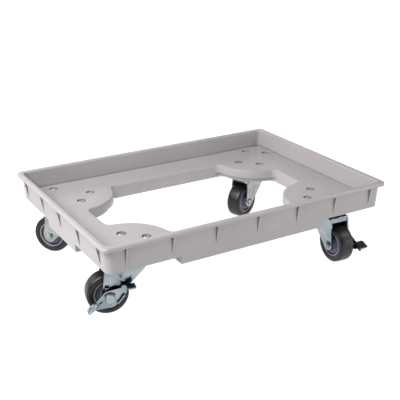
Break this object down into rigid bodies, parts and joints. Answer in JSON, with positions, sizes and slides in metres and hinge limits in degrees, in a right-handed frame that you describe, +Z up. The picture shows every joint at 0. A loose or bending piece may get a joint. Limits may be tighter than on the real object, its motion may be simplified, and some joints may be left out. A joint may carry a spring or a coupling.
{
  "type": "dough box dolly",
  "caption": "Low rectangular moulded tray frame with a raised rim and an open middle, on swivel casters with side brakes, for rolling stacked dough boxes.",
  "frame": {"origin": "on the floor below the middle of the tray", "axes": "+X along the tray's long side, +Y from the braked side towards the back, +Z up"},
  "size_m": [0.7082, 0.5008, 0.19],
  "materials": {
    "frame_plastic": "fine-grained light grey moulding",
    "zinc_steel": "bright blue-white zinc plate",
    "zinc_bolts": "zinc plate",
    "ball_steel": "polished bearing steel",
    "bush_plastic": "natural bearing plastic",
    "core_plastic": "dark blue-grey moulding",
    "tread_rubber": "black, slightly worn sheen"
  },
  "bodies": {
    "deck": {"moulded_frame": "frame_plastic", "front_left_plate_bolts": "zinc_bolts", "front_left_plate_nuts": "zinc_bolts", "front_left_top_plate": "zinc_steel", "front_left_kingpin": "zinc_steel", "front_left_lower_race": "zinc_steel", "front_left_swivel_balls": "ball_steel", "front_right_plate_bolts": "zinc_bolts", "front_right_plate_nuts": "zinc_bolts", "front_right_top_plate": "zinc_steel", "front_right_kingpin": "zinc_steel", "front_right_lower_race": "zinc_steel", "front_right_swivel_balls": "ball_steel", "rear_left_plate_bolts": "zinc_bolts", "rear_left_plate_nuts": "zinc_bolts", "rear_left_top_plate": "zinc_steel", "rear_left_kingpin": "zinc_steel", "rear_left_lower_race": "zinc_steel", "rear_left_swivel_balls": "ball_steel", "rear_right_plate_bolts": "zinc_bolts", "rear_right_plate_nuts": "zinc_bolts", "rear_right_top_plate": "zinc_steel", "rear_right_kingpin": "zinc_steel", "rear_right_lower_race": "zinc_steel", "rear_right_swivel_balls": "ball_steel"},
    "front_left_swivel": {"front_left_fork": "zinc_steel", "front_left_axle_bolt": "zinc_bolts", "front_left_axle_nut": "zinc_bolts", "front_left_axle_sleeve": "zinc_steel", "front_left_brake_cam": "zinc_steel"},
    "front_left_wheel": {"front_left_hub_bush": "bush_plastic", "front_left_wheel_core": "core_plastic", "front_left_wheel_tread": "tread_rubber"},
    "front_left_lever": {"front_left_brake_lever": "zinc_steel"},
    "front_right_swivel": {"front_right_fork": "zinc_steel", "front_right_axle_bolt": "zinc_bolts", "front_right_axle_nut": "zinc_bolts", "front_right_axle_sleeve": "zinc_steel", "front_right_brake_cam": "zinc_steel"},
    "front_right_wheel": {"front_right_hub_bush": "bush_plastic", "front_right_wheel_core": "core_plastic", "front_right_wheel_tread": "tread_rubber"},
    "front_right_lever": {"front_right_brake_lever": "zinc_steel"},
    "rear_left_swivel": {"rear_left_fork": "zinc_steel", "rear_left_axle_bolt": "zinc_bolts", "rear_left_axle_nut": "zinc_bolts", "rear_left_axle_sleeve": "zinc_steel"},
    "rear_left_wheel": {"rear_left_hub_bush": "bush_plastic", "rear_left_wheel_core": "core_plastic", "rear_left_wheel_tread": "tread_rubber"},
    "rear_right_swivel": {"rear_right_fork": "zinc_steel", "rear_right_axle_bolt": "zinc_bolts", "rear_right_axle_nut": "zinc_bolts", "rear_right_axle_sleeve": "zinc_steel"},
    "rear_right_wheel": {"rear_right_hub_bush": "bush_plastic", "rear_right_wheel_core": "core_plastic", "rear_right_wheel_tread": "tread_rubber"}
  },
  "joints": [
    {"name": "front_left_swivel_turn", "type": "hinge", "parent": "deck", "child": "front_left_swivel", "pos_m": [-0.256, -0.153, 0.122], "axis": [0, 0, 1], "continuous": true},
    {"name": "front_left_wheel_roll", "type": "hinge", "parent": "front_left_swivel", "child": "front_left_wheel", "pos_m": [-0.3018, -0.14243, 0.0445], "axis": [-0.225, -0.9744, 0], "continuous": true},
    {"name": "front_left_brake_swing", "type": "hinge", "parent": "front_left_swivel", "child": "front_left_lever", "pos_m": [-0.3018, -0.14243, 0.0445], "axis": [-0.225, -0.9744, 0], "range_deg": [-18, 0]},
    {"name": "front_right_swivel_turn", "type": "hinge", "parent": "deck", "child": "front_right_swivel", "pos_m": [0.256, -0.153, 0.122], "axis": [0, 0, 1], "continuous": true},
    {"name": "front_right_wheel_roll", "type": "hinge", "parent": "front_right_swivel", "child": "front_right_wheel", "pos_m": [0.25354, -0.19994, 0.0445], "axis": [0.9986, -0.0523, 0], "continuous": true},
    {"name": "front_right_brake_swing", "type": "hinge", "parent": "front_right_swivel", "child": "front_right_lever", "pos_m": [0.25354, -0.19994, 0.0445], "axis": [0.9986, -0.0523, 0], "range_deg": [0, 18]},
    {"name": "rear_left_swivel_turn", "type": "hinge", "parent": "deck", "child": "rear_left_swivel", "pos_m": [-0.256, 0.153, 0.122], "axis": [0, 0, 1], "continuous": true},
    {"name": "rear_left_wheel_roll", "type": "hinge", "parent": "rear_left_swivel", "child": "rear_left_wheel", "pos_m": [-0.28683, 0.18847, 0.0445], "axis": [-0.7547, -0.6561, 0], "continuous": true},
    {"name": "rear_right_swivel_turn", "type": "hinge", "parent": "deck", "child": "rear_right_swivel", "pos_m": [0.256, 0.153, 0.122], "axis": [0, 0, 1], "continuous": true},
    {"name": "rear_right_wheel_roll", "type": "hinge", "parent": "rear_right_swivel", "child": "rear_right_wheel", "pos_m": [0.21274, 0.13464, 0.0445], "axis": [0.3907, -0.9205, 0], "continuous": true}
  ]
}
